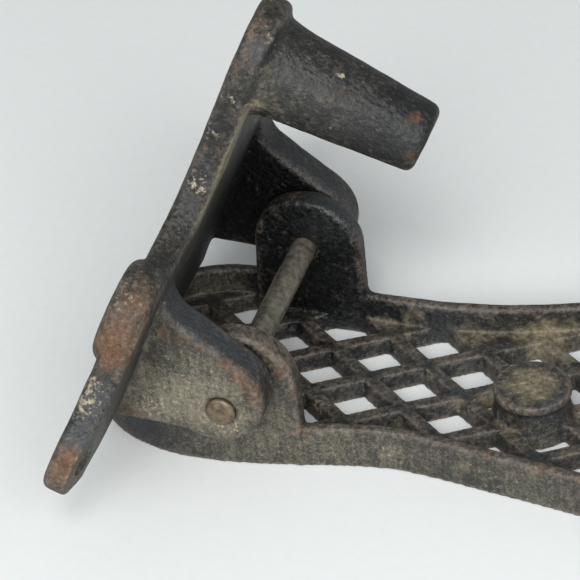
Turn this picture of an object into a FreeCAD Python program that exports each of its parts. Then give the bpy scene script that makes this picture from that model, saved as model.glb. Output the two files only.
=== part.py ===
import FreeCAD, Part
import math
import os

# Cast-iron folding foot rest, in millimetres. A sole-shaped lattice plate lies with its shoe
# face down, and a wall bracket with a resting peg is hinged to the two ears at its heel.
# Working frame: the hinge axis runs along Y through X = 0, the toe points to +X, and Z = 0 is
# the shoe face. At the end every piece moves along X, so that the origin is the middle of the
# footprint.

Vector = FreeCAD.Vector
UP = Vector(0, 0, 1)
ACROSS = Vector(0, 1, 0)

# Hinge
PIN_RADIUS = 3.97
PIN_HEIGHT = 30.1
EAR_BORE_CLEARANCE = 0.06
PIN_HEAD_RADIUS = 4.7
PIN_HEAD_HEIGHT = 1.4
COUNTERSINK_RADIUS = 5.5
COUNTERSINK_DEPTH = 1.2

# Foot plate: outline, rim and floor
HEEL_RADIUS = 39.7
HEEL_CENTRE_X = -17.5
LEFT_SIDE = [(20, 35.2), (45, 34.8), (67, 38.4), (86, 44.2), (106, 49.3), (132, 52.0), (160, 49.3)]
RIGHT_SIDE = [(20, 35.3), (45, 31.4), (67, 33.3), (86, 36.0), (106, 39.0), (132, 42.2), (160, 42.0)]
TOE_RADIUS = 36.0
TOE_CENTRE = (184.0, 3.0)
TOE_QUARTER = 55
HEEL_STEP = 30
RIM_HEIGHT = 14.4
RIM_WALL = 3.8
RIM_ROUNDING = 1.3
FLOOR_THICKNESS = 5.5

# Lattice of the floor: diamond openings that flare towards the upper side
CELL_HALF_LENGTH = 15.3
CELL_HALF_WIDTH = 11.0
CELL_START = (12.4, 4.6)
LATTICE_TURN = -3.5
BAR_WIDTH_UPPER = 4.0
BAR_WIDTH_LOWER = 6.6
CELL_MARGIN = 5.0
CELL_ROWS = 12

# Boss that the peg lands on
BOSS_X = 80.8
BOSS_RADIUS = 12.0
BOSS_TOP = 14.6
BOSS_CAP_HEIGHT = 2.8
BOSS_WAIST_RADIUS = 10.7
BOSS_FOOT_RADIUS = 13.5
BOSS_EDGE = 0.9

# Ears
EAR_INNER = 30.5
EAR_OUTER = 38.2
EAR_OUTER_AT_BASE = 36.1
EAR_TOP_RADIUS = 17.4
EAR_TOP_CENTRE = (1.0, 30.6)
EAR_BASE_BACK = -17.2
EAR_BASE_FRONT = 19.8
EAR_ROUNDING = 1.8
EAR_DRAFT_REACH = 60.0

# Bracket, in its own plane: N is the distance in front of the hinge axis, U the height along
# the arm and V the distance to either side.
PLATE_TILT = 68.5
PLATE_BACK = -37.6
PLATE_FRONT = -28.4
PLATE_ROUNDING = 2.6
PLATE_OUTLINE = [
    (0, 103.6), (12.3, 98.4), (17.0, 86.5), (17.8, 72), (19.4, 59), (25.0, 45.6), (39, 38.1),
    (55.2, 38.4), (67.5, 33.5), (72.5, 22), (80, 9), (91.6, -0.6), (95.5, -9), (92, -17.2),
    (84, -20.5), (70, -21.3), (50, -21.6),
]
BASE_MIDDLE = [(25, -24), (0, -24), (-25, -24)]
STOP_HALF_WIDTH = 37.5
STOP_LOWEST = -33.0
STOP_HIGHEST = 12.0
STOP_GAP = 0.4
PAD_V = 56.0
PAD_U = 25.0
PAD_RADIUS = 16.0
PAD_BACK = -40.6
PAD_FRONT = -29.2
PAD_ROUNDING = 3.8

# Feet: their front faces fall away towards the ends
FOOT_TAPER_START = 80.0
FOOT_TAPER_END = 97.0
FOOT_TAPER_DEPTH = 2.6

# Screw holes in the two feet
SCREW_V = 84.0
SCREW_U = -9.0
SCREW_RADIUS = 3.2
SCREW_HEAD_RADIUS = 6.2
SCREW_HEAD_DEPTH = 3.2

# Cheeks
CHEEK_INNER = 39.1
CHEEK_OUTER = 51.1
CHEEK_NOSE = (-4.0, 2.2)
CHEEK_NOSE_RADIUS = 15.8
CHEEK_NOSE_TURN = 78
CHEEK_TOP_ROOT = (-22.0, 24.0)
CHEEK_FLARE_MIDDLE = (-26.4, 28.0)
CHEEK_FLARE_TOP = (-28.6, 34.0)
CHEEK_BOTTOM_ROOT = -20.4
CHEEK_ROUNDING = 2.4

# Peg
PEG_U = 84.5
PEG_DROOP = 1.3
PEG_END = 22.0
PEG_ROOT_RADIUS = 15.4
PEG_FLARE_MIDDLE = (3.8, 14.4)
PEG_SHOULDER = (8.4, 13.8)
PEG_END_RADIUS = 10.75
PEG_EDGE = 3.0

# How far a cutting shape reaches past the surface it opens, and how deep joined shapes overlap
CUT_REACH = 5.0
OVERLAP = 2.0


def polygon(points):
    return Part.makePolygon([Vector(*p) for p in points] + [Vector(*points[0])])


def prism(wire, direction):
    return Part.Face(wire).extrude(direction)


def tube_along_y(x, z, radius, y_start, y_end):
    return Part.makeCylinder(radius, y_end - y_start, Vector(x, y_start, z), ACROSS)


def edges_in_plane(shape, axis, value):
    """The edges whose whole length lies at one value of x, y or z."""
    found = []
    for edge in shape.Edges:
        box = edge.BoundBox
        low, high = (getattr(box, axis + "Min"), getattr(box, axis + "Max"))
        if abs(low - value) < 0.01 and abs(high - value) < 0.01:
            found.append(edge)
    return found


def edges_on_plane(shape, point, normal):
    """The edges whose two ends both lie on the plane through a point."""
    return [
        edge for edge in shape.Edges
        if all(abs((vertex.Point - point).dot(normal)) < 0.01 for vertex in edge.Vertexes)
    ]


def smooth_loop(points):
    curve = Part.BSplineCurve()
    curve.interpolate(Points=points, PeriodicFlag=True)
    return curve


# ---------------------------------------------------------------- foot plate

def sole_points():
    """Points of the outer edge, counter-clockwise from the heel's left quarter point."""
    points = []
    for degrees in range(90, 271, HEEL_STEP):
        turn = math.radians(degrees)
        x = HEEL_CENTRE_X + HEEL_RADIUS * math.cos(turn)
        points.append(Vector(x, HEEL_RADIUS * math.sin(turn), 0))
    points += [Vector(x, -y, 0) for x, y in RIGHT_SIDE]
    for degrees in (-TOE_QUARTER, 0, TOE_QUARTER):
        turn = math.radians(degrees)
        x = TOE_CENTRE[0] + TOE_RADIUS * math.cos(turn)
        points.append(Vector(x, TOE_CENTRE[1] + TOE_RADIUS * math.sin(turn), 0))
    points += [Vector(x, y, 0) for x, y in reversed(LEFT_SIDE)]
    return points


def sole_wire(inset):
    """The outline, moved inwards by a distance square to the edge."""
    outer = smooth_loop(sole_points())
    moved = []
    for point in sole_points():
        along = outer.tangent(outer.parameter(point))[0]
        inwards = UP.cross(along)
        moved.append(point + inwards * inset)
    return Part.Wire(smooth_loop(moved).toShape())


def diamond(centre, bar_width, z):
    """One opening of the lattice at height z, between bars of the given width."""
    side = math.hypot(CELL_HALF_LENGTH, CELL_HALF_WIDTH)
    pitch = 2 * CELL_HALF_LENGTH * CELL_HALF_WIDTH / side
    scale = 1 - bar_width / pitch
    corners = []
    for along, across in ((1, 0), (0, 1), (-1, 0), (0, -1)):
        step = lattice_vector(along * CELL_HALF_LENGTH * scale, across * CELL_HALF_WIDTH * scale)
        corners.append(tuple(centre + step + Vector(0, 0, z)))
    return polygon(corners)


def lattice_vector(x, y):
    turn = math.radians(LATTICE_TURN)
    return Vector(x * math.cos(turn) - y * math.sin(turn), x * math.sin(turn) + y * math.cos(turn), 0)


def lattice_openings():
    allowed = Part.Face(sole_wire(RIM_WALL + CELL_MARGIN))
    start = Vector(*CELL_START, 0)
    openings = []
    steps = range(-CELL_ROWS, CELL_ROWS + 1)
    for row in steps:
        for column in steps:
            step = lattice_vector(
                (row + column) * CELL_HALF_LENGTH, (row - column) * CELL_HALF_WIDTH
            )
            centre = start + step
            if allowed.isInside(centre, 0.01, True):
                lower = diamond(centre, BAR_WIDTH_LOWER, 0)
                upper = diamond(centre, BAR_WIDTH_UPPER, FLOOR_THICKNESS)
                openings.append(Part.makeLoft([lower, upper], True, True))
    return openings


def boss():
    cap_bottom = BOSS_TOP - BOSS_CAP_HEIGHT
    foot = Part.makeCone(BOSS_FOOT_RADIUS, BOSS_WAIST_RADIUS, cap_bottom + BOSS_EDGE / 2)
    cap = Part.makeCylinder(BOSS_RADIUS, BOSS_CAP_HEIGHT, Vector(0, 0, cap_bottom))
    cap = cap.makeFillet(BOSS_EDGE, edges_in_plane(cap, "Z", BOSS_TOP))
    whole = foot.fuse(cap)
    whole.translate(Vector(BOSS_X, 0, 0))
    return whole


def ear(side):
    """One hinge ear, a slab with a round top; side is +1 on the left and -1 on the right."""
    x, z = EAR_TOP_CENTRE
    y = side * EAR_INNER
    back, front = (Vector(EAR_BASE_BACK, y, 0), Vector(EAR_BASE_FRONT, y, 0))
    left, right = (Vector(x - EAR_TOP_RADIUS, y, z), Vector(x + EAR_TOP_RADIUS, y, z))
    crown = Part.Arc(right, Vector(x, y, z + EAR_TOP_RADIUS), left).toShape()
    base = Part.makeLine(back, front)
    flanks = [Part.makeLine(front, right), Part.makeLine(left, back)]
    outline = Part.Wire([base, flanks[0], crown, flanks[1]])
    slab = prism(outline, Vector(0, side * (EAR_OUTER - EAR_INNER), 0))
    foot = Vector(EAR_BASE_BACK - OVERLAP, side * EAR_OUTER_AT_BASE, 0)
    brow = Vector(foot.x, side * EAR_OUTER, z + EAR_TOP_RADIUS)
    low_corner = Vector(foot.x, brow.y, 0)
    draft = prism(polygon([tuple(foot), tuple(brow), tuple(low_corner)]), Vector(EAR_DRAFT_REACH, 0, 0))
    slab = slab.cut(draft)
    slope = (brow - foot).cross(Vector(1, 0, 0)).normalize()
    edges = edges_in_plane(slab, "Y", y) + edges_on_plane(slab, foot, slope)
    upper = [edge for edge in edges if edge.BoundBox.ZMax > EAR_ROUNDING]
    return slab.makeFillet(EAR_ROUNDING, upper)


def foot_plate():
    floor = prism(sole_wire(RIM_WALL / 2), UP * FLOOR_THICKNESS)
    floor = floor.cut(Part.makeCompound(lattice_openings()))
    rim = prism(sole_wire(0), UP * RIM_HEIGHT)
    rim = rim.cut(prism(sole_wire(RIM_WALL), UP * RIM_HEIGHT))
    rim = rim.makeFillet(RIM_ROUNDING, edges_in_plane(rim, "Z", RIM_HEIGHT))
    plate = rim.fuse(floor)
    for addition in (boss(), ear(1), ear(-1)):
        plate = plate.fuse(addition)
    reach = EAR_OUTER + CUT_REACH
    bore = tube_along_y(0, PIN_HEIGHT, PIN_RADIUS + EAR_BORE_CLEARANCE, -reach, reach)
    return plate.cut(bore)


# ---------------------------------------------------------------- bracket, in its (N, V, U) frame

def plate_outline():
    """The whole outline of base and arm as a smooth closed loop, seen along N."""
    half = [Vector(PLATE_BACK, v, u) for v, u in PLATE_OUTLINE]
    middle = [Vector(PLATE_BACK, v, u) for v, u in BASE_MIDDLE]
    other = [Vector(p.x, -p.y, p.z) for p in reversed(half[1:])]
    return Part.Wire(smooth_loop(half + middle + other).toShape())


def base_and_arm():
    depth = PLATE_FRONT - PLATE_BACK
    plate = prism(plate_outline(), Vector(depth, 0, 0))
    edges = edges_in_plane(plate, "X", PLATE_BACK) + edges_in_plane(plate, "X", PLATE_FRONT)
    plate = plate.makeFillet(PLATE_ROUNDING, edges)
    corner = Vector(PLATE_BACK, -STOP_HALF_WIDTH, STOP_LOWEST)
    stop = Part.makeBox(depth, 2 * STOP_HALF_WIDTH, STOP_HIGHEST - STOP_LOWEST, corner)
    return plate.fuse(stop)


def foot_taper(side):
    """Wedge that thins the front of one foot towards its end."""
    reach = PLATE_FRONT + CUT_REACH
    slope = FOOT_TAPER_DEPTH / (FOOT_TAPER_END - FOOT_TAPER_START)
    start = FOOT_TAPER_START - CUT_REACH / slope
    corners = [(reach, start), (reach, FOOT_TAPER_END), (PLATE_FRONT - FOOT_TAPER_DEPTH, FOOT_TAPER_END)]
    low = CHEEK_BOTTOM_ROOT - 2 * CUT_REACH
    outline = polygon([(n, side * v, low) for n, v in corners])
    return prism(outline, UP * (PAD_U - low))


def pad(side):
    """Round thickening of the base beside a cheek."""
    disc = Part.makeCylinder(
        PAD_RADIUS, PAD_FRONT - PAD_BACK, Vector(PAD_BACK, side * PAD_V, PAD_U), Vector(1, 0, 0)
    )
    rims = edges_in_plane(disc, "X", PAD_BACK) + edges_in_plane(disc, "X", PAD_FRONT)
    return disc.makeFillet(PAD_ROUNDING, rims)


def cheek(side):
    """One lug beside the foot plate's ear: straight edges that run into a round nose."""
    n, u = CHEEK_NOSE
    nose = CHEEK_NOSE_RADIUS

    def at(n_value, u_value):
        return Vector(n_value, side * CHEEK_INNER, u_value)

    turn = math.radians(CHEEK_NOSE_TURN)
    top = at(n + nose * math.cos(turn), u + nose * math.sin(turn))
    tip = at(n + nose, u)
    bottom = at(n - nose * math.cos(turn), u - nose * math.sin(turn))
    root = (PLATE_BACK + PLATE_FRONT) / 2
    flare_top = at(*CHEEK_FLARE_TOP)
    edges = [
        Part.makeLine(at(root, CHEEK_BOTTOM_ROOT), at(PLATE_FRONT, CHEEK_BOTTOM_ROOT)),
        Part.makeLine(at(PLATE_FRONT, CHEEK_BOTTOM_ROOT), bottom),
        Part.Arc(bottom, tip, top).toShape(),
        Part.makeLine(top, at(*CHEEK_TOP_ROOT)),
        Part.Arc(at(*CHEEK_TOP_ROOT), at(*CHEEK_FLARE_MIDDLE), flare_top).toShape(),
        Part.makeLine(flare_top, Vector(root, flare_top.y, flare_top.z)),
        Part.makeLine(Vector(root, flare_top.y, flare_top.z), at(root, CHEEK_BOTTOM_ROOT)),
    ]
    lug = prism(Part.Wire(edges), Vector(0, side * (CHEEK_OUTER - CHEEK_INNER), 0))
    faces_v = (side * CHEEK_INNER, side * CHEEK_OUTER)
    rims = [edge for v in faces_v for edge in edges_in_plane(lug, "Y", v)]
    free = [edge for edge in rims if edge.BoundBox.XMax > PLATE_FRONT + OVERLAP]
    return lug.makeFillet(CHEEK_ROUNDING, free)


def peg():
    """Tapered round peg that stands off the arm's front, flared at its root."""
    start = PLATE_FRONT - OVERLAP
    end = PEG_END - PEG_EDGE
    corner = PEG_EDGE * (1 - math.sqrt(0.5))

    def at(n, radius):
        return Vector(n, 0, radius)

    def beyond_arm(step, radius):
        return at(PLATE_FRONT + step, radius)

    edges = [
        Part.makeLine(at(start, 0), at(start, PEG_ROOT_RADIUS)),
        Part.makeLine(at(start, PEG_ROOT_RADIUS), at(PLATE_FRONT, PEG_ROOT_RADIUS)),
        Part.Arc(
            at(PLATE_FRONT, PEG_ROOT_RADIUS), beyond_arm(*PEG_FLARE_MIDDLE), beyond_arm(*PEG_SHOULDER)
        ).toShape(),
        Part.makeLine(beyond_arm(*PEG_SHOULDER), at(end, PEG_END_RADIUS)),
        Part.Arc(
            at(end, PEG_END_RADIUS),
            at(PEG_END - corner, PEG_END_RADIUS - corner),
            at(PEG_END, PEG_END_RADIUS - PEG_EDGE),
        ).toShape(),
        Part.makeLine(at(PEG_END, PEG_END_RADIUS - PEG_EDGE), at(PEG_END, 0)),
        Part.makeLine(at(PEG_END, 0), at(start, 0)),
    ]
    body = Part.Face(Part.Wire(edges)).revolve(Vector(0, 0, 0), Vector(1, 0, 0), 360)
    body.rotate(Vector(PLATE_FRONT, 0, 0), ACROSS, PEG_DROOP)
    body.translate(Vector(0, 0, PEG_U))
    return body


def screw_hole(side):
    """Through hole in a foot, countersunk from the front."""
    start = Vector(PAD_BACK, side * SCREW_V, SCREW_U)
    shank = Part.makeCylinder(SCREW_RADIUS, PLATE_FRONT - PAD_BACK + CUT_REACH, start, Vector(1, 0, 0))
    mouth = Vector(PLATE_FRONT - SCREW_HEAD_DEPTH, side * SCREW_V, SCREW_U)
    sink = Part.makeCone(SCREW_RADIUS, SCREW_HEAD_RADIUS, SCREW_HEAD_DEPTH, mouth, Vector(1, 0, 0))
    return shank.fuse(sink)


def pin_hole(side):
    """Hole through one cheek, countersunk on the outside for the peened end of the pin."""
    hole = tube_along_y(0, 0, PIN_RADIUS, CHEEK_INNER - OVERLAP, CHEEK_OUTER + OVERLAP)
    sink = Part.makeCone(
        PIN_RADIUS, COUNTERSINK_RADIUS, COUNTERSINK_DEPTH,
        Vector(0, CHEEK_OUTER - COUNTERSINK_DEPTH, 0), ACROSS,
    )
    hole = hole.fuse(sink)
    if side < 0:
        hole.rotate(Vector(0, 0, 0), UP, 180)
    return hole


def stand_up(shape):
    """From the bracket's own frame to the working frame, leaning over the foot plate."""
    shape.rotate(Vector(0, 0, 0), ACROSS, 90 - PLATE_TILT)
    shape.translate(Vector(0, 0, PIN_HEIGHT))
    return shape


def bracket():
    body = base_and_arm().fuse([pad(1), pad(-1), cheek(1), cheek(-1), peg()])
    body = body.cut([foot_taper(1), foot_taper(-1)])
    body = body.cut([screw_hole(1), screw_hole(-1), pin_hole(1), pin_hole(-1)])
    body = stand_up(body)
    below = RIM_HEIGHT + STOP_GAP
    reach = STOP_HALF_WIDTH + CUT_REACH
    length = HEEL_RADIUS - HEEL_CENTRE_X
    floor = Part.makeBox(length, 2 * reach, below, Vector(-length - CUT_REACH, -reach, 0))
    return body.cut(floor)


# ---------------------------------------------------------------- hinge pin

def hinge_pin():
    """Plain rod through cheeks and ears, with both ends peened to low domes."""
    half = CHEEK_OUTER - COUNTERSINK_DEPTH
    tip = CHEEK_OUTER + PIN_HEAD_HEIGHT

    def at(radius, y):
        return Vector(radius, y, 0)

    def dome(end):
        sphere = (PIN_HEAD_RADIUS**2 + PIN_HEAD_HEIGHT**2) / (2 * PIN_HEAD_HEIGHT)
        half_turn = math.asin(PIN_HEAD_RADIUS / sphere) / 2
        drop = sphere * (1 - math.cos(half_turn))
        middle = at(sphere * math.sin(half_turn), end * (tip - drop))
        return Part.Arc(at(PIN_HEAD_RADIUS, end * CHEEK_OUTER), middle, at(0, end * tip)).toShape()

    profile = [
        Part.makeLine(at(0, -tip), at(0, tip)),
        dome(1),
        Part.makeLine(at(PIN_HEAD_RADIUS, CHEEK_OUTER), at(PIN_RADIUS, half)),
        Part.makeLine(at(PIN_RADIUS, half), at(PIN_RADIUS, -half)),
        Part.makeLine(at(PIN_RADIUS, -half), at(PIN_HEAD_RADIUS, -CHEEK_OUTER)),
        dome(-1),
    ]
    pin = Part.Face(Part.Wire(profile)).revolve(Vector(0, 0, 0), ACROSS, 360)
    pin.translate(Vector(0, 0, PIN_HEIGHT))
    return pin


# ---------------------------------------------------------------- assembly

def main():
    pieces = {"foot_plate": foot_plate(), "bracket": bracket(), "hinge_pin": hinge_pin()}
    box = Part.makeCompound(list(pieces.values())).optimalBoundingBox(False, False)
    shift = -(box.XMin + box.XMax) / 2
    os.makedirs("parts", exist_ok=True)
    for name, shape in pieces.items():
        shape.translate(Vector(shift, 0, 0))
        print(name, shape.ShapeType, "solids", len(shape.Solids), "valid", shape.isValid(),
              "volume", round(shape.Volume))
        shape.exportStep("parts/" + name + ".step")
    print("hinge axis at x", round(shift, 3), "size", box.XLength, box.YLength, box.ZLength)


main()
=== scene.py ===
# %% [markdown]
# # A folding shoe rest, cast in iron and painted black long ago
# The object is three pieces: a sole-shaped foot plate with a lattice floor, a
# bracket with two cheeks and a peg, and the steel pin they fold on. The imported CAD
# model is loaded first and stays where it is: everything is built around it.

# %% Load the frame
import math

import bpy
import numpy as np
from mathutils import Matrix, Vector


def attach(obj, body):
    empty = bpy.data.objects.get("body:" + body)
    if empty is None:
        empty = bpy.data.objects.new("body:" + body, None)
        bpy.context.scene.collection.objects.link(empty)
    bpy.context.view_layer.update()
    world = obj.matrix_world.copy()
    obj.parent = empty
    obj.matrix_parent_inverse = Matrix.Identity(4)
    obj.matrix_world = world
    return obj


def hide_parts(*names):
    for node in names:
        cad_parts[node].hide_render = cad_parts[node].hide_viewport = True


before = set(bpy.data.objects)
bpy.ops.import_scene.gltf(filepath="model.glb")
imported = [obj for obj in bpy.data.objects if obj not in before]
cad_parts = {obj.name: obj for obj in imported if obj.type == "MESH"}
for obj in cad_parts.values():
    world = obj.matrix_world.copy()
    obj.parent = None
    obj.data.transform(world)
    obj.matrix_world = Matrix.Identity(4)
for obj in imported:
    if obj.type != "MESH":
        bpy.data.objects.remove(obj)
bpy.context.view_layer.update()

MM = 0.001

# %% [markdown]
# ## Small helpers
# Operators act on whatever is selected, so every step starts by choosing one thing.
# Colours are easier to pick as screen hex values, but Blender mixes light in linear
# values, so one function turns one into the other.

# %% Choose one object
def choose(piece):
    bpy.ops.object.select_all(action="DESELECT")
    piece.select_set(True)
    bpy.context.view_layer.objects.active = piece


# %% Screen colour to linear colour
def linear(hex_colour):
    values = [int(hex_colour[i:i + 2], 16) / 255 for i in (1, 3, 5)]
    return [v / 12.92 if v <= 0.04045 else ((v + 0.055) / 1.055) ** 2.4 for v in values] + [1.0]


print("mid grey is", [round(v, 3) for v in linear("#808080")])

# %% [markdown]
# ## The camera
# A long lens from a little above and to the right of the heel, slightly tipped, as
# a person leaning over a table would hold it. The camera's three axes are written
# straight into its matrix, so nothing has to be aimed by a constraint.

# %% Camera
CAMERA_AZIMUTH = math.radians(20.1)
CAMERA_ELEVATION = math.radians(37.27)
CAMERA_ROLL = math.radians(-4.37)
CAMERA_DISTANCE = 1.032
CAMERA_TARGET = Vector((-92.76, 46.5, 0)) * MM

backward = Vector((
    math.sin(CAMERA_AZIMUTH) * math.cos(CAMERA_ELEVATION),
    -math.cos(CAMERA_AZIMUTH) * math.cos(CAMERA_ELEVATION),
    math.sin(CAMERA_ELEVATION),
))
level = Vector((math.cos(CAMERA_AZIMUTH), math.sin(CAMERA_AZIMUTH), 0))
upward = backward.cross(level)
right = math.cos(CAMERA_ROLL) * level + math.sin(CAMERA_ROLL) * upward
top = math.cos(CAMERA_ROLL) * upward - math.sin(CAMERA_ROLL) * level

camera_data = bpy.data.cameras.new("camera")
camera_data.lens = 198.62
camera_data.sensor_width = 36
camera = bpy.data.objects.new("camera", camera_data)
bpy.context.scene.collection.objects.link(camera)
camera.matrix_world = Matrix((right, top, backward)).transposed().to_4x4()
camera.location = CAMERA_TARGET + CAMERA_DISTANCE * backward
bpy.context.scene.camera = camera
print("camera at", [round(v, 3) for v in camera.location])

# %% [markdown]
# ## The table
# A plain pale floor for the shadows to fall on. It is stage, not part of the object,
# and one large plane is enough, because its edges stay out of view. It lies a hair
# lower than the object's flat face, so that the castings' uneven skin stays above it.

# %% Table
TABLE_WIDTH = 6
TABLE_DROP = 0.25 * MM

bpy.ops.object.select_all(action="DESELECT")
bpy.ops.mesh.primitive_plane_add(size=TABLE_WIDTH, location=(0, 0, -TABLE_DROP))
table = bpy.context.object
table.name = "table"
bpy.ops.object.transform_apply(location=True, rotation=True, scale=True)
print("table is", round(table.dimensions.x, 2), "m wide")

# %% [markdown]
# ## Light
# Most of the light comes from a wide, low softbox in front, like a window: it lights
# upright faces more than flat ones and shades the table under the lattice. A smaller
# lamp about fifty degrees up draws the soft shadows behind the object, and a dim even
# surround keeps the darkest corners open.

# %% A soft lamp that looks at the hinge
LAMP_AIM = Vector((-50, 0, 30)) * MM


def soft_lamp(name, way, distance, width, height, power):
    data = bpy.data.lights.new(name, "AREA")
    data.shape = "RECTANGLE"
    data.size = width
    data.size_y = height
    data.energy = power
    lamp = bpy.data.objects.new(name, data)
    bpy.context.scene.collection.objects.link(lamp)
    direction = Vector(way).normalized()
    lamp.location = LAMP_AIM + distance * direction
    lamp.rotation_euler = direction.to_track_quat("Z", "Y").to_euler()
    return lamp


# %% Lamps and surround
window = soft_lamp("window_lamp", way=(0.22, -0.92, 0.74), distance=2.0,
                   width=2.4, height=1.2, power=51.5)
high = soft_lamp("high_lamp", way=(0.13, -0.76, 1.0), distance=1.5,
                 width=0.32, height=0.32, power=4.6)

surround = bpy.data.worlds.new("surround")
surround.use_nodes = True
sky = surround.node_tree.nodes["Background"]
sky.inputs["Color"].default_value = linear("#eef2f4")
sky.inputs["Strength"].default_value = 0.39
bpy.context.scene.world = surround
bpy.context.scene.view_settings.view_transform = "Standard"
print("lamps", [lamp.name for lamp in (window, high)])

# %% [markdown]
# ## Castings
# Sand-cast iron has no sharp corners and no dead flat faces: every edge is a little
# soft, and the skin carries the grain of the sand. The CAD copy of a casting is made
# of long thin triangles that can't hold such a skin. So its doubles are merged, it is
# rebuilt as an even net of small squares, smoothed, and pushed in and out by clouds
# of noise at three sizes. The noise is real shape, so it shows on the outline too.
# Where two parts of a casting meet, a mould has a soft corner, and there the net is
# smoothed for longer: a vertex group says how much each point takes part.

# %% Add a modifier and apply it
def finish_with(piece, kind, **settings):
    modifier = piece.modifiers.new(kind.lower(), kind)
    for key_name, value in settings.items():
        setattr(modifier, key_name, value)
    choose(piece)
    bpy.ops.object.modifier_apply(modifier=modifier.name)


# %% Mesh as arrays
def arrays(piece):
    mesh = piece.data
    points = np.empty(len(mesh.vertices) * 3, np.float32)
    mesh.vertices.foreach_get("co", points)
    normals = np.empty(len(mesh.vertices) * 3, np.float32)
    mesh.vertices.foreach_get("normal", normals)
    edges = np.empty(len(mesh.edges) * 2, np.int32)
    mesh.edges.foreach_get("vertices", edges)
    return (
        points.reshape(-1, 3).astype(float),
        normals.reshape(-1, 3).astype(float),
        edges.reshape(-1, 2),
    )


# %% How much of a soft ball each point feels, from 1 at its centre to 0 far away
def ball_share(points, x, y, z, reach):
    gap = np.linalg.norm(points / MM - (x, y, z), axis=1)
    return np.exp(-((gap / reach) ** 2))


# %% Ease the corners where two parts of a casting meet
LEAST_SHARE = 0.05
ROOT_ROUNDS = 110


def ease_roots(piece, balls):
    points = arrays(piece)[0]
    share = np.max([ball_share(points, *ball) for ball in balls], axis=0)
    group = piece.vertex_groups.new(name="roots")
    for index in np.flatnonzero(share > LEAST_SHARE):
        group.add([int(index)], float(share[index]), "REPLACE")
    finish_with(piece, "SMOOTH", factor=0.5, iterations=ROOT_ROUNDS, vertex_group=group.name)
    piece.vertex_groups.clear()


# %% Clouds of noise for the skin: size of a cloud, and height from its low to its high
def clouds(name, size, depth=2):
    texture = bpy.data.textures.new(name, "CLOUDS")
    texture.noise_scale = size
    texture.noise_depth = depth
    return texture


SKIN = [
    (clouds("mould_waves", 24 * MM), 0.50 * MM),
    (clouds("sand_lumps", 6 * MM), 0.16 * MM),
    (clouds("sand_grain", 2.2 * MM, depth=3), 0.12 * MM),
]


# %% A casting from its CAD node
FINE_NET = 0.5 * MM
CALM_ROUNDS = 6
SAME_POINT = 0.001 * MM
MOST_TRIANGLES = 196000


def triangle_count(piece):
    return sum(len(face.vertices) - 2 for face in piece.data.polygons)


def casting(node_name, piece_name, roots):
    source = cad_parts[node_name]
    piece = bpy.data.objects.new(piece_name, source.data.copy())
    bpy.context.scene.collection.objects.link(piece)
    piece.data.materials.clear()
    choose(piece)
    bpy.ops.object.mode_set(mode="EDIT")
    bpy.ops.mesh.select_all(action="SELECT")
    bpy.ops.mesh.remove_doubles(threshold=SAME_POINT)
    bpy.ops.object.mode_set(mode="OBJECT")
    finish_with(piece, "REMESH", mode="VOXEL", voxel_size=FINE_NET)
    finish_with(piece, "SMOOTH", factor=0.5, iterations=CALM_ROUNDS)
    ease_roots(piece, roots)
    for texture, strength in SKIN:
        finish_with(piece, "DISPLACE", texture=texture, texture_coords="LOCAL",
                    mid_level=0.5, strength=strength)
    full = triangle_count(piece)
    if full > MOST_TRIANGLES:
        finish_with(piece, "DECIMATE", ratio=MOST_TRIANGLES / full)
    bpy.ops.object.shade_smooth()
    print(piece_name, "has", triangle_count(piece), "triangles")
    return piece


# %% The two castings
# Soft balls as x, y, z and reach in millimetres: the foot of the left ear, then the
# peg's root and the roots of both cheeks.
PLATE_ROOTS = [(-62, 34, 10, 6)]
BRACKET_ROOTS = [(-77, -4, 118, 15), (-107, -52, 40, 9), (-107, 52, 40, 9)]

plate = casting("foot_plate", "foot_plate_casting", PLATE_ROOTS)
bracket = casting("bracket", "bracket_casting", BRACKET_ROOTS)

# %% [markdown]
# ## Where wear and dirt gather
# Paint rubs off edges, and dirt settles in hollows. Both follow the shape, so they
# are measured from it: the mesh is smoothed a few times and compared with itself. A
# vertex that stands above its smoothed neighbours is on an edge, and one that lies
# below them is in a hollow. The results are stored on the mesh as attributes.

# %% Neighbour average, repeated
OWN_SHARE = 0.3


def relaxed(points, edges, rounds):
    count = len(points)
    a, b = edges[:, 0], edges[:, 1]
    share = np.maximum(np.bincount(a, minlength=count) + np.bincount(b, minlength=count), 1)
    for _ in range(rounds):
        total = np.stack([
            np.bincount(a, points[b, k], count) + np.bincount(b, points[a, k], count)
            for k in range(points.shape[1])
        ], axis=1)
        points = OWN_SHARE * points + (1 - OWN_SHARE) * total / share[:, None]
    return points


# %% Store one value for each vertex
def store(piece, name, values):
    attribute = piece.data.attributes.new(name, "FLOAT", "POINT")
    attribute.data.foreach_set("value", np.clip(values, -1, 1).astype(np.float32))


# %% Edges and hollows
# How far a fully worn edge stands out, and how deep a hollow full of dirt lies. Then
# how often the net is smoothed: to still the skin's grain, to lose its edges, to lose
# its hollows, and to blur the dirt in them.
EDGE_HEIGHT = 0.32 * MM
HOLLOW_DEPTH = 1.5 * MM
EDGE_WEAR = 0.65
STILL_ROUNDS, EDGE_ROUNDS, HOLLOW_ROUNDS, BLUR_ROUNDS = 3, 9, 60, 12


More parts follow.
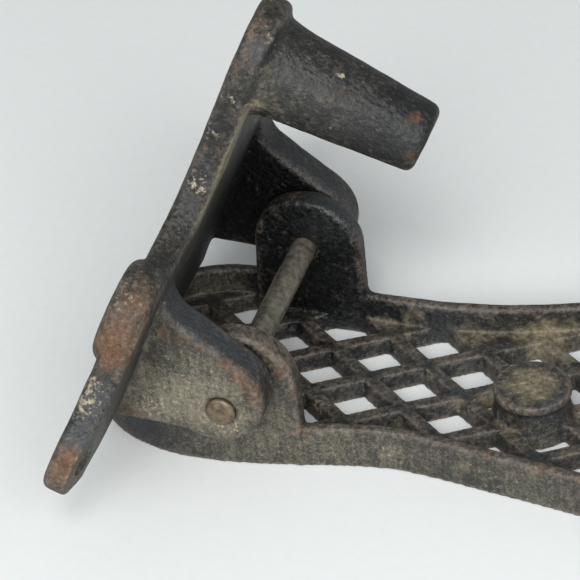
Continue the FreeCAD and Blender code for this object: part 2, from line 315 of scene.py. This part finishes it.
def mark_shape(piece, unworn=()):
    points, normals, edges = arrays(piece)
    calm = relaxed(points, edges, STILL_ROUNDS)
    near = relaxed(calm, edges, EDGE_ROUNDS)
    far = relaxed(near, edges, HOLLOW_ROUNDS)
    edge = ((calm - near) * normals).sum(axis=1) / EDGE_HEIGHT
    hollow = -((calm - far) * normals).sum(axis=1) / HOLLOW_DEPTH
    edge = EDGE_WEAR * relaxed(edge[:, None], edges, 1)[:, 0]
    for ball in unworn:
        edge *= 1 - ball_share(points, *ball)
    store(piece, "edge", edge)
    store(piece, "hollow", relaxed(hollow[:, None], edges, BLUR_ROUNDS)[:, 0])
    print(piece.name, "edge share", round(float((edge > 0.5).mean()), 3),
          "hollow share", round(float((hollow > 0.5).mean()), 3))


# Each ball is a place where the paint is still whole over the edges: the left ear's
# crown, and the end of the peg.
mark_shape(plate, [(-78, 33, 42, 18)])
mark_shape(bracket, [(-34, -4, 108, 14)])

# %% [markdown]
# ## Spots of rust, dirt and old paint
# Each spot is a soft ball in space: its centre in millimetres, its reach, how much it
# adds, and sometimes the way that a surface must face to take it. Spots of one kind
# add up to one attribute, which the material then breaks up with noise.

# %% Soft balls on a mesh
# Ways to face: to the near side, up, up along the slope of the cheeks' tops, and down
# along the bracket's inner face.
NEAR = (0, -1, 0)
UP = (0, 0, 1)
BAND = (0.62, 0, 0.79)
UNDERSIDE = (0.93, 0, -0.37)


def store_spots(piece, name, start, spots):
    points, normals, _ = arrays(piece)
    cover = np.full(len(points), start, float)
    for x, y, z, reach, strength, *facing in spots:
        share = ball_share(points, x, y, z, reach)
        if facing:
            share *= np.clip(normals @ np.array(facing[0], float), 0, 1) ** 2
        cover += strength * share
    store(piece, name, cover)


# %% [markdown]
# The same kinds of spot are scattered at random over the toe half and over the faces
# that look down and back, with a fixed seed, so that no side is left plain.

# %% Random spots for the plain sides
dice = np.random.default_rng(11)
TOE_HALF_START = 28 * MM
FACING_AWAY = -0.1


def scattered(piece, count, reach, strength):
    points, normals, _ = arrays(piece)
    away = normals @ np.array(backward) < FACING_AWAY
    plain = np.flatnonzero(away | (points[:, 0] > TOE_HALF_START))
    chosen = points[dice.choice(plain, count)] / MM
    return [(*centre, dice.uniform(*reach), dice.uniform(*strength)) for centre in chosen]


# %% [markdown]
# How bare a place is runs from whole black paint at the low end to grey-brown iron at
# the high end, and the same spots also paint shade and a highlight. The cheek's outer
# face and the near rim are rubbed. The insides of the far cheek and the far ear, and
# the bracket's inner underside, are made near black as painted shade, for the light
# that the near ear, the cheeks and the arm keep off them. A light line along the arm's
# edge beside its underside is a painted highlight, and the foot of the near cheek by
# the pad is lighter, partly as worn iron and partly as painted light over the pad's
# shadow.

# %% How worn the bracket is, with painted shade and a painted highlight
store_spots(bracket, "wear_and_painted_light", start=0.34, spots=[
    # The spots at x -104 on the next two lines are lighter partly as worn iron and partly as painted light
    # over the shadow that the pad casts on the near cheek's foot.
    (-88, -51, 36, 21, 0.28, NEAR), (-100.6, -51, 46, 7, -0.18, NEAR), (-104, -51, 40, 10, 0.16, NEAR),
    (-92, -51, 30, 8, 0.12, NEAR), (-104, -51, 27, 6, 0.14, NEAR), (-78, -51, 27, 8, 0.12, NEAR),
    (-94, -43, 62, 7, -0.35, BAND), (-77, -13, 132, 6, -0.28), (-92, -25, 86, 10, -0.16),
    # The first spot on the next line darkens the inner underside as painted shade; the spots facing that
    # underside on the next three lines draw a light line along the arm's edge as a painted highlight.
    (-102, 12, 40, 26, -0.45, UNDERSIDE), (-84, -16, 101, 7, 0.8, UNDERSIDE),
    (-88, -18, 91, 7, 0.8, UNDERSIDE), (-92, -24, 80, 7, 0.7, UNDERSIDE),
    # The two near-facing spots at y 38 and 39 on the next line darken the far cheek's inside as painted
    # shade.
    (-80, -15, 110, 6, 0.6, UNDERSIDE), (-95, 38, 45, 26, -0.8, NEAR), (-98, 39, 62, 16, -0.5, NEAR),
    (-34, 3, 113, 5, -0.22), (-36, -11, 105, 8, -0.14), (-29, -6, 104, 9, -0.1),
    (-110, -88, 44, 7, -0.4), (-107, -78, 52, 5, -0.25), (-88, -19, 108, 10, -0.12),
    (-52, -5, 116, 30, -0.12), (-34, -5, 108, 10, -0.42), (-104, -66, 70, 10, 0.15), (-114, -94, 37, 7, 0.15),
    *scattered(bracket, count=26, reach=(5, 14), strength=(-0.3, 0.3)),
])

# %% How worn the foot plate is, with painted shade in the far ear
store_spots(plate, "wear_and_painted_light", start=0.38, spots=[
    (-68, -38, 17, 18, 0.16, NEAR), (-88, -38, 8, 16, 0.14, NEAR),
    (-54, -32, 7, 9, 0.15, NEAR), (-36, -31, 7, 11, 0.15, NEAR), (-15, -32, 7, 13, 0.10, NEAR),
    # The spots at y 30 on the next three lines darken the far ear's inside as painted shade.
    (8, -35, 6, 15, 0.15, NEAR), (30, -39, 6, 15, 0.15, NEAR), (-80, 30, 20, 30, -0.9, NEAR),
    (-70, 30, 42, 16, -0.6, NEAR),
    (-115, 33, 9, 14, 0.40, NEAR), (-105, 36, 9, 9, 0.25, NEAR), (-66, 30, 20, 10, -0.3),
    (-76, 34, 47, 14, -0.4), (-114, -37, 7, 7, -0.14), (-9, -10, 4, 8, -0.1),
    *scattered(plate, count=26, reach=(5, 14), strength=(-0.3, 0.3)),
])

# %% [markdown]
# Rust sits on the near pad, on the tip of the near foot and along worn edges. A start
# a little below zero keeps the noise from drawing rust where there is no spot.

# %% Rust
store_spots(bracket, "rust", start=-0.06, spots=[
    (-103.8, -71.8, 68.4, 9, 0.75), (-98.1, -63.9, 78.5, 7, 0.62), (-107, -72, 64, 7, 0.4),
    (-114.4, -95.1, 36.2, 7, 0.85), (-111.5, -92.6, 39.9, 5, 0.4), (-97, -50.6, 56.8, 3, 0.62),
    (-91, -50.6, 55, 2.4, 0.55), (-86, -50.6, 52.6, 2.4, 0.58), (-79.2, -50.7, 48.3, 3, 0.7),
    (-74.3, -50.8, 44.1, 3.6, 0.7), (-70.5, -50.5, 39.5, 3.6, 0.6), (-69.3, -50.3, 34, 4, 0.45),
    (-87, -17, 98, 9, 0.3), (-78, -8.4, 137.2, 5, 0.45), (-80, -15, 130, 5, 0.42), (-86, -17, 118, 6, 0.2),
    (-32.2, -5.1, 110.9, 2.4, 0.72), (-52.9, -8.9, 119, 2.4, 0.42), (-31.9, -10.6, 101, 3, 0.6),
    # The spot at (-95, 39, 45) keeps rust off the far cheek's inside, so that it stays dark as painted shade.
    (-101.8, -30, 60, 8, 0.25), (-94.2, -48.8, 77.5, 6, 0.22), (-95, 39, 45, 26, -0.8, NEAR),
    *scattered(bracket, count=16, reach=(3, 9), strength=(0.3, 0.75)),
])
store_spots(plate, "rust", start=-0.05, spots=[
    # The two spots at y 30 keep rust off the far ear's inside, so that it stays dark as painted shade.
    (-80, 30, 20, 30, -0.8, NEAR), (-70, 30, 44, 16, -0.5, NEAR),
    (-70.1, -37.1, 44.6, 4, 0.6), (-65.3, -38, 37.6, 4, 0.68), (-62.3, -36.7, 27, 4, 0.55),
    (-62.3, -37.5, 14, 4.5, 0.5), (-68, -38, 5, 7, 0.25, NEAR), (-79, 30.3, 33.3, 4.5, 0.3),
    (-85, 33.5, 47.3, 5, 0.35), (-45, -31.5, 14.4, 3, 0.35),
    (-33, -30.8, 14.4, 3, 0.4), (-19, -31.5, 14.4, 3, 0.5), (-6, -33.5, 14.4, 3, 0.5),
    (10.6, -36, 14.4, 4, 0.6), (24, -38.5, 14.4, 4, 0.5), (-10, 37, 14.4, 5, 0.35),
    (14, 41, 14.4, 6, 0.4), (-28, 34, 14.4, 5, 0.3), (-50, -31, 3, 6, 0.2, NEAR),
    *scattered(plate, count=18, reach=(3, 9), strength=(0.3, 0.75)),
])

# %% [markdown]
# Dry dirt lies in the lattice's corners, along the foot of the rim and on the boss,
# and pale flecks are old splashes that hold on here and there. The dirt's spots also
# draw a painted highlight along the arm's edge, and are kept off the far cheek and the
# far ear, whose insides are painted shade.

# %% Dry dirt, and a painted highlight on the arm's edge
store_spots(bracket, "dirt_and_painted_light", start=0.02, spots=[
    # The spot at (-95, 39, 45) keeps dirt off the far cheek's inside, so that it stays dark as painted shade,
    # and the three spots facing the underside lighten the arm's edge as a painted highlight.
    (-95, 39, 45, 26, -0.8, NEAR), (-84, -16, 101, 6, 0.4, UNDERSIDE), (-88, -18, 91, 6, 0.4, UNDERSIDE),
    (-92, -22, 80, 6, 0.4, UNDERSIDE),
    (-75.1, -14.8, 115.2, 6, 0.42), (-73.1, -14.1, 125.4, 5, 0.25), (-90, -51, 34, 18, 0.2, NEAR),
    (-82.6, -17.6, 104, 12, 0.25), (-81, -51, 24, 5, 0.3, NEAR), (-80, -51, 22, 4, 0.2, NEAR),
    (-100, -16, 60, 12, 0.25), *scattered(bracket, count=14, reach=(4, 10), strength=(0.25, 0.6)),
])
store_spots(plate, "dirt_and_painted_light", start=0.05, spots=[
    # The two spots at y 30 keep dirt off the far ear's inside, so that it stays dark as painted shade.
    (-80, 30, 20, 26, -0.8, NEAR), (-70, 30, 44, 16, -0.5, NEAR),
    (-34.6, 8.3, 4.8, 5, 0.62), (-15.6, 3.6, 3.3, 4.5, 0.62), (-39.2, -12, 1.6, 4.5, 0.62),
    (-4.6, -15.8, 5.5, 5, 0.5), (-23.1, -1.5, 3.6, 4, 0.45), (-28.6, 26.7, 5.4, 6, 0.6),
    (-5.7, 31, 5, 8, 0.72), (3, 28, 6, 7, 0.72), (14, 34, 6, 8, 0.6), (-59.4, 31, 5.5, 5, 0.45),
    (-48, 22, 5.5, 6, 0.3), (-57, 8, 4, 6, 0.3), (-1, 0, 14.6, 12.5, 0.72, UP),
    (-36.3, -31.2, 6.9, 5, 0.5, NEAR), (-54.3, -32.3, 7, 5, 0.4, NEAR), (-8, -33, 6, 6, 0.35, NEAR),
    (18, -37, 6, 8, 0.3, NEAR), (-11.5, 2, 7, 6, 0.45), (12.5, -19.4, 5.5, 5, 0.4),
    (-62, -14, 4, 4, 0.5), *scattered(plate, count=26, reach=(4, 10), strength=(0.3, 0.75)),
])

# %% Pale flecks
store_spots(bracket, "flecks", start=0.0, spots=[
    (-109.4, -75.7, 56.3, 4, 0.36), (-110.9, -79.3, 51.8, 4.5, 0.38), (-111.6, -83.3, 48.6, 3.5, 0.3),
    (-104, -51, 27, 7, 0.26, NEAR), (-90, -51, 36, 16, 0.24, NEAR), (-80, -51, 25, 6, 0.3, NEAR),
    (-83.3, -17.5, 117.9, 3, 0.42), (-89.3, -18, 106, 2.6, 0.34), (-93.5, -22.9, 89.3, 4, 0.44),
    (-102.4, -65.1, 79.3, 6, 0.3), (-71.1, -9.4, 134.4, 3, 0.3), (-53.3, -4.9, 122.1, 0.9, 0.8),
    *scattered(bracket, count=8, reach=(3, 6), strength=(0.3, 0.5)),
])
store_spots(plate, "flecks", start=0.0, spots=[
    (-65.5, -12.6, 4.6, 3.5, 0.5), (-55, -32, 6, 7, 0.2, NEAR), (-36, -31, 7, 6, 0.22, NEAR),
    (0, -34, 6, 10, 0.18, NEAR), (-68, -38, 8, 8, 0.14, NEAR), (-1, 0, 14.6, 11, 0.24, UP),
    *scattered(plate, count=8, reach=(3, 6), strength=(0.3, 0.5)),
])

# %% [markdown]
# Where nobody touched it, the old paint keeps its blue-black colour: on the sloping
# tops of the cheeks and along the lattice bars.

# %% Blue-black paint that is still whole
store_spots(bracket, "blue", start=0.08, spots=[
    (-88.2, -46.4, 56.7, 13, 0.95, BAND), (-76, -44.5, 47, 11, 0.85, BAND),
    (-85.5, 45, 54.6, 15, 0.8, BAND), (-75.6, 43, 46.8, 9, 0.6, BAND),
    (-110.4, -87.9, 44.5, 6.5, 0.8), (-107.4, -78.1, 52.3, 5, 0.65), (-77.3, -13.6, 132.2, 6, 0.7),
    (-94.2, -48.8, 70, 8, 0.4), (-90, -22, 96, 9, 0.35), (-34.3, 2.8, 113, 6, 0.35),
    (-33, -9, 106, 6, 0.3), *scattered(bracket, count=12, reach=(5, 11), strength=(0.3, 0.7)),
])
store_spots(plate, "blue", start=0.22, spots=[
    (-113.6, -36.8, 7.5, 8, 0.5), (-35.6, 30.7, 13, 18, 0.35, NEAR), (9, -5, 14.4, 5, 0.5),
    (-9, -4, 12, 5, 0.4), (5, -9, 12, 5, 0.4), (8, -20, 3, 12, 0.3), (-46, -2, 4, 18, 0.3, UP),
    (-20, 6, 4, 18, 0.2, UP),
    *scattered(plate, count=12, reach=(5, 11), strength=(0.2, 0.6)),
])

# %% [markdown]
# ## The hinge pin
# A plain steel rod, hammered over at both ends so that it can't fall out. It starts
# as a cylinder between the cheeks' sinks; each end is then extruded and scaled in
# steps to the low dome that the hammer leaves. The shaft is cut into rings, the whole
# is rebuilt as an even net, and small noise makes it uneven.

# %% Shaft of the pin
PIN_CENTRE = Vector((-81.4, 0, 30.1)) * MM
PIN_RADIUS = 3.97 * MM
SHAFT_HALF = 49.9 * MM
SHAFT_SIDES = 56

bpy.ops.object.select_all(action="DESELECT")
bpy.ops.mesh.primitive_cylinder_add(
    vertices=SHAFT_SIDES, radius=PIN_RADIUS, depth=2 * SHAFT_HALF,
    location=PIN_CENTRE, rotation=(math.pi / 2, 0, 0),
)
pin = bpy.context.object
pin.name = "steel_hinge_pin"
bpy.ops.object.transform_apply(location=True, rotation=True, scale=True)


# %% Select the end face that lies furthest along y
def select_end(piece, side):
    bpy.ops.object.mode_set(mode="OBJECT")
    furthest = max(side * face.center.y for face in piece.data.polygons)
    for face in piece.data.polygons:
        face.select = abs(side * face.center.y - furthest) < SAME_POINT
    bpy.ops.object.mode_set(mode="EDIT")


# %% Hammered heads
# How far the hammer pushed the head sideways at each step, along x and z, and then
# how far out and how wide each step of the dome is. All are in millimetres.
HEAD_LEAN = (-0.09, -0.07)
HEAD_STEPS = [(0.5, 4.25), (0.65, 4.62), (0.45, 4.5), (0.45, 3.9), (0.28, 2.8), (0.12, 1.5)]

bpy.ops.object.mode_set(mode="EDIT")
bpy.context.tool_settings.mesh_select_mode = (False, False, True)
bpy.ops.mesh.select_all(action="DESELECT")
for side in (-1, 1):
    radius = PIN_RADIUS / MM
    head_centre = PIN_CENTRE.copy()
    for step, wanted in HEAD_STEPS:
        select_end(pin, side)
        move = Vector((HEAD_LEAN[0], side * step, HEAD_LEAN[1])) * MM
        bpy.ops.mesh.extrude_region_move(TRANSFORM_OT_translate={"value": move})
        head_centre += move
        bpy.ops.transform.resize(
            value=(wanted / radius, 1, wanted / radius), center_override=head_centre)
        radius = wanted
bpy.ops.object.mode_set(mode="OBJECT")
print("heads reach", round(pin.dimensions.y / 2 / MM, 1), "mm from the middle")

# %% Rings along the shaft, an even net and the hammer's marks
RING_CUTS = range(-40, 41, 10)
PIN_NET = 0.38 * MM
PIN_CALM_ROUNDS = 4

for place in RING_CUTS:
    bpy.ops.object.mode_set(mode="EDIT")
    bpy.ops.mesh.select_all(action="SELECT")
    bpy.ops.mesh.bisect(plane_co=(0, place * MM, 0), plane_no=(0, 1, 0))
    bpy.ops.object.mode_set(mode="OBJECT")
finish_with(pin, "REMESH", mode="VOXEL", voxel_size=PIN_NET)
finish_with(pin, "SMOOTH", factor=0.5, iterations=PIN_CALM_ROUNDS)
finish_with(pin, "DISPLACE", texture=clouds("hammer_marks", 3.2 * MM), texture_coords="LOCAL",
            mid_level=0.5, strength=0.16 * MM)
choose(pin)
bpy.ops.object.shade_smooth()

# %% Brown stains on the pin, where it enters the ears and on its heads
store_spots(pin, "rust", start=0.12, spots=[
    (-81.4, 33, 30, 5, 0.5), (-81.4, -33, 30, 5, 0.5), (-81.4, -51.5, 30, 5, 1.0),
    (-81.4, 51.5, 30, 5, 1.0), (-81.4, 10, 30, 4, 0.15),
])
print("pin is", round(pin.dimensions.y / MM, 1), "mm long")

# %% [markdown]
# ## Materials
# One small function adds a node, sets it and links it, so that each material below
# reads as a recipe from the bottom layer to the top one.

# %% Add a node
def add_node(tree, kind, sockets=None, **settings):
    node = tree.nodes.new(kind)
    for key_name, value in settings.items():
        setattr(node, key_name, value)
    for name, value in (sockets or {}).items():
        if isinstance(value, bpy.types.NodeSocket):
            tree.links.new(value, node.inputs[name])
        else:
            node.inputs[name].default_value = value
    return node


# Numbers of the Mix node's sockets, which share their names: first those for mixing
# colours, then those for mixing plain values half and half.
MIX_FACTOR, MIX_A, MIX_B, MIX_OUT = 0, 6, 7, 2
MIX_VALUE_A, MIX_VALUE_B = 2, 3


# %% Lay one colour over another
def laid_over(tree, under, over, cover):
    mix = add_node(tree, "ShaderNodeMix", {MIX_FACTOR: cover, MIX_A: under, MIX_B: over},
                   data_type="RGBA")
    return mix.outputs[MIX_OUT]


# %% Break a smooth cover up with noise
# The spread says how far the noise can push the cover, and soft how wide the fade is.
def broken(tree, cover, noise, spread, soft):
    wobble = add_node(tree, "ShaderNodeMath", {0: noise, 1: -0.5}, operation="ADD")
    lifted = add_node(tree, "ShaderNodeMath", {0: wobble.outputs[0], 1: spread, 2: cover},
                      operation="MULTIPLY_ADD")
    cut = add_node(tree, "ShaderNodeMapRange", {
        "Value": lifted.outputs[0], "From Min": 0.5 - soft, "From Max": 0.5 + soft})
    return cut.outputs[0]


# %% [markdown]
# ### Old black paint on cast iron
# Black japan paint on sand-cast iron, a century old: thin, matt with a slight gloss
# where hands rub it, worn to grey-brown metal on the high grains, rusty in patches
# and dusty in the corners. Some of its spots paint light and shade into the colour
# too: the insides of the far cheek and far ear and the bracket's inner underside are
# painted shade, and a light line along the arm's edge is a painted highlight. Each
# layer is a colour with its own grain, laid over the last where its cover is strong
# enough. Casting sand is a fifth to a third of a millimetre across, too fine to show
# from here, so the finest specks are drawn at 0.6 mm and the grains at 1.5 mm.

# %% Sizes of the iron's patterns, in millimetres
STREAK, BLOTCH, GRAIN, SPECK, PIT = 1.1, 4.5, 1.5, 0.6, 2.2
# Streaks are stretched along z, as paint runs down: this is the squeeze of that axis.
STREAK_SQUEEZE = 0.12

# %% From whole paint to bare iron
# The ramp is made with stops at its two ends, so those come first.
WEAR_SHADES = [
    (0.0, "#090a0a"), (1.0, "#8d8571"),
    (0.22, "#191916"), (0.45, "#34322c"), (0.72, "#5b5648"),
]
# How much each noise changes the wear, and half of their sum, so that an even noise
# leaves the wear where the spots put it.
WEAR_SHARES = {"grain": 0.7, "blotch": 0.35, "speck": 0.75, "streak": 0.35}
WEAR_NOISE_MEAN = 0.5 * sum(WEAR_SHARES.values())
# How much dirt a deep hollow adds by itself.
HOLLOW_DIRT = 0.35
# Most values of a noise lie between these two.
NOISE_LOW, NOISE_HIGH = 0.3, 0.7
# Roughness of the smoothest and the roughest paint, and what full rust adds.
SMOOTHEST, ROUGHEST, RUST_MATT = 0.42, 0.72, 0.3
# The bump: how deep a pit is, how strongly it shows, and how much of it is grain.
PIT_DEPTH, BUMP_STRENGTH, BUMP_GRAIN = 0.4 * MM, 0.8, 0.6
PAINT_IOR = 1.5
print("wear noise has a mean of", round(WEAR_NOISE_MEAN, 3))


# %% Worn painted iron
def worn_iron(name):
    material = bpy.data.materials.new(name)
    material.use_nodes = True
    tree = material.node_tree
    shader = tree.nodes["Principled BSDF"]
    place = add_node(tree, "ShaderNodeTexCoord").outputs["Object"]

    def noise(size_mm, detail, roughness=0.6):
        node = add_node(tree, "ShaderNodeTexNoise", {
            "Vector": place, "Scale": 1 / (size_mm * MM), "Detail": detail, "Roughness": roughness})
        return node.outputs["Fac"]

    def marked(attribute):
        return add_node(tree, "ShaderNodeAttribute", attribute_name=attribute).outputs["Fac"]

    def shades(dark, light, mixed_by):
        spread = add_node(tree, "ShaderNodeMapRange", {
            "Value": mixed_by, "From Min": NOISE_LOW, "From Max": NOISE_HIGH})
        return laid_over(tree, linear(dark), linear(light), spread.outputs[0])

    upright = add_node(tree, "ShaderNodeMapping", {
        "Vector": place, "Scale": (1, 1, STREAK_SQUEEZE)})
    streak = add_node(tree, "ShaderNodeTexNoise", {
        "Vector": upright.outputs[0], "Scale": 1 / (STREAK * MM), "Detail": 3.0}).outputs["Fac"]
    blotch = noise(BLOTCH, 5, 0.65)
    grain = noise(GRAIN, 6, 0.7)
    speck = noise(SPECK, 3)
    mottle = add_node(tree, "ShaderNodeMix", {MIX_VALUE_A: blotch, MIX_VALUE_B: grain}).outputs[0]
    pits = add_node(tree, "ShaderNodeTexVoronoi", {
        "Vector": place, "Scale": 1 / (PIT * MM), "Detail": 2.0}).outputs["Distance"]

    # The ground: paint worn to iron, with painted shade and a painted highlight, by the spots and all four
    # noises together.
    noises = {"grain": grain, "blotch": blotch, "speck": speck, "streak": streak}
    wear_and_light_level = marked("wear_and_painted_light")
    for name_of_noise, share in WEAR_SHARES.items():
        wear_and_light_level = add_node(tree, "ShaderNodeMath", {0: noises[name_of_noise], 1: share, 2: wear_and_light_level},
                        operation="MULTIPLY_ADD").outputs[0]
    ramp = add_node(tree, "ShaderNodeValToRGB")
    for index, (place_on_ramp, shade) in enumerate(WEAR_SHADES):
        stop = ramp.color_ramp.elements[index] if index < 2 else ramp.color_ramp.elements.new(1)
        stop.position = place_on_ramp
        stop.color = linear(shade)
    level = add_node(tree, "ShaderNodeMapRange", {
        "Value": wear_and_light_level, "From Min": WEAR_NOISE_MEAN, "From Max": WEAR_NOISE_MEAN + 1})
    tree.links.new(level.outputs[0], ramp.inputs["Fac"])
    colour = ramp.outputs["Color"]

    # Whole paint, dirt with a painted highlight on the arm's edge, rust, flecks and worn edges, each over the
    # last.
    colour = laid_over(tree, colour, shades("#121518", "#3a3e41", speck),
                       broken(tree, marked("blue"), grain, spread=1.1, soft=0.3))
    dirt_and_painted_light = add_node(tree, "ShaderNodeMath", {0: marked("hollow"), 1: HOLLOW_DIRT, 2: marked("dirt_and_painted_light")},
                    operation="MULTIPLY_ADD").outputs[0]
    colour = laid_over(tree, colour, shades("#433c2e", "#8c826a", grain),
                       broken(tree, dirt_and_painted_light, blotch, spread=1.3, soft=0.3))
    colour = laid_over(tree, colour, shades("#36271c", "#75543a", grain),
                       broken(tree, marked("rust"), mottle, spread=1.8, soft=0.35))
    colour = laid_over(tree, colour, shades("#6f6757", "#b3a890", speck),
                       broken(tree, marked("flecks"), grain, spread=2.4, soft=0.12))
    colour = laid_over(tree, colour, shades("#403a34", "#83786c", grain),
                       broken(tree, marked("edge"), mottle, spread=1.6, soft=0.4))
    tree.links.new(colour, shader.inputs["Base Color"])

    # Rubbed paint has a slight gloss, grains are matt, and rust is the mattest.
    rough = add_node(tree, "ShaderNodeMapRange", {
        "Value": grain, "From Min": NOISE_LOW, "From Max": NOISE_HIGH,
        "To Min": SMOOTHEST, "To Max": ROUGHEST})
    matt = add_node(tree, "ShaderNodeMath", {0: marked("rust"), 1: RUST_MATT, 2: rough.outputs[0]},
                    operation="MULTIPLY_ADD", use_clamp=True).outputs[0]
    tree.links.new(matt, shader.inputs["Roughness"])
    shader.inputs["IOR"].default_value = PAINT_IOR

    # Pits and grains too small for the net are drawn as bump.
    height = add_node(tree, "ShaderNodeMath", {0: grain, 1: BUMP_GRAIN, 2: pits}, operation="MULTIPLY_ADD")
    bump = add_node(tree, "ShaderNodeBump", {
        "Height": height.outputs[0], "Strength": BUMP_STRENGTH, "Distance": PIT_DEPTH})
    tree.links.new(bump.outputs["Normal"], shader.inputs["Normal"])
    return material


iron = worn_iron("worn_black_painted_cast_iron")
for piece in (plate, bracket):
    piece.data.materials.append(iron)

# %% [markdown]
# ### Old steel rod
# The pin is drawn steel rod: smoother than the castings, mottled grey from handling,
# and brown where it enters the iron. A film of grease and rust covers most of the
# metal, so it mirrors far less than clean steel and counts as only partly metallic.

# %% Dull steel
STEEL_MOTTLE = 2.4 * MM
STEEL_LOW, STEEL_HIGH = 0.35, 0.65
STEEL_DENTS = 0.15 * MM

steel = bpy.data.materials.new("dull_drawn_steel")
steel.use_nodes = True
steel_tree = steel.node_tree
steel_shader = steel_tree.nodes["Principled BSDF"]
steel_place = add_node(steel_tree, "ShaderNodeTexCoord").outputs["Object"]
steel_grain = add_node(steel_tree, "ShaderNodeTexNoise", {
    "Vector": steel_place, "Scale": 1 / STEEL_MOTTLE, "Detail": 5.0, "Roughness": 0.65}).outputs["Fac"]
steel_spread = add_node(steel_tree, "ShaderNodeMapRange", {
    "Value": steel_grain, "From Min": STEEL_LOW, "From Max": STEEL_HIGH}).outputs[0]
steel_colour = laid_over(steel_tree, linear("#48443a"), linear("#7b776b"), steel_spread)
steel_brown = laid_over(steel_tree, linear("#3d3025"), linear("#7c6c56"), steel_spread)
steel_rust = add_node(steel_tree, "ShaderNodeAttribute", attribute_name="rust").outputs["Fac"]
steel_colour = laid_over(steel_tree, steel_colour, steel_brown,
                         broken(steel_tree, steel_rust, steel_grain, spread=1.2, soft=0.3))
steel_tree.links.new(steel_colour, steel_shader.inputs["Base Color"])
steel_shader.inputs["Metallic"].default_value = 0.35
steel_shader.inputs["Roughness"].default_value = 0.42
steel_bump = add_node(steel_tree, "ShaderNodeBump", {
    "Height": steel_grain, "Strength": 0.3, "Distance": STEEL_DENTS})
steel_tree.links.new(steel_bump.outputs["Normal"], steel_shader.inputs["Normal"])
pin.data.materials.append(steel)

# %% [markdown]
# ### The table's surface
# Matt white board: almost no grain, a very slight cool tint.

# %% Table surface
BOARD_GRAIN = 3 * MM

board = bpy.data.materials.new("matt_white_board")
board.use_nodes = True
board_tree = board.node_tree
board_shader = board_tree.nodes["Principled BSDF"]
board_place = add_node(board_tree, "ShaderNodeTexCoord").outputs["Object"]
board_noise = add_node(board_tree, "ShaderNodeTexNoise", {
    "Vector": board_place, "Scale": 1 / BOARD_GRAIN, "Detail": 4.0}).outputs["Fac"]
board_colour = laid_over(board_tree, linear("#dde0df"), linear("#e3e6e5"), board_noise)
board_tree.links.new(board_colour, board_shader.inputs["Base Color"])
board_shader.inputs["Roughness"].default_value = 0.8
board_shader.inputs["Specular IOR Level"].default_value = 0.2
table.data.materials.append(board)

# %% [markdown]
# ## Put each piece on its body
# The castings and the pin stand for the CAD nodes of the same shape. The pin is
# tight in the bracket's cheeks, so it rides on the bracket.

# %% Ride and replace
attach(plate, "plate_body")
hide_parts("foot_plate")
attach(bracket, "bracket_body")
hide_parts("bracket")
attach(pin, "bracket_body")
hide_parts("hinge_pin")
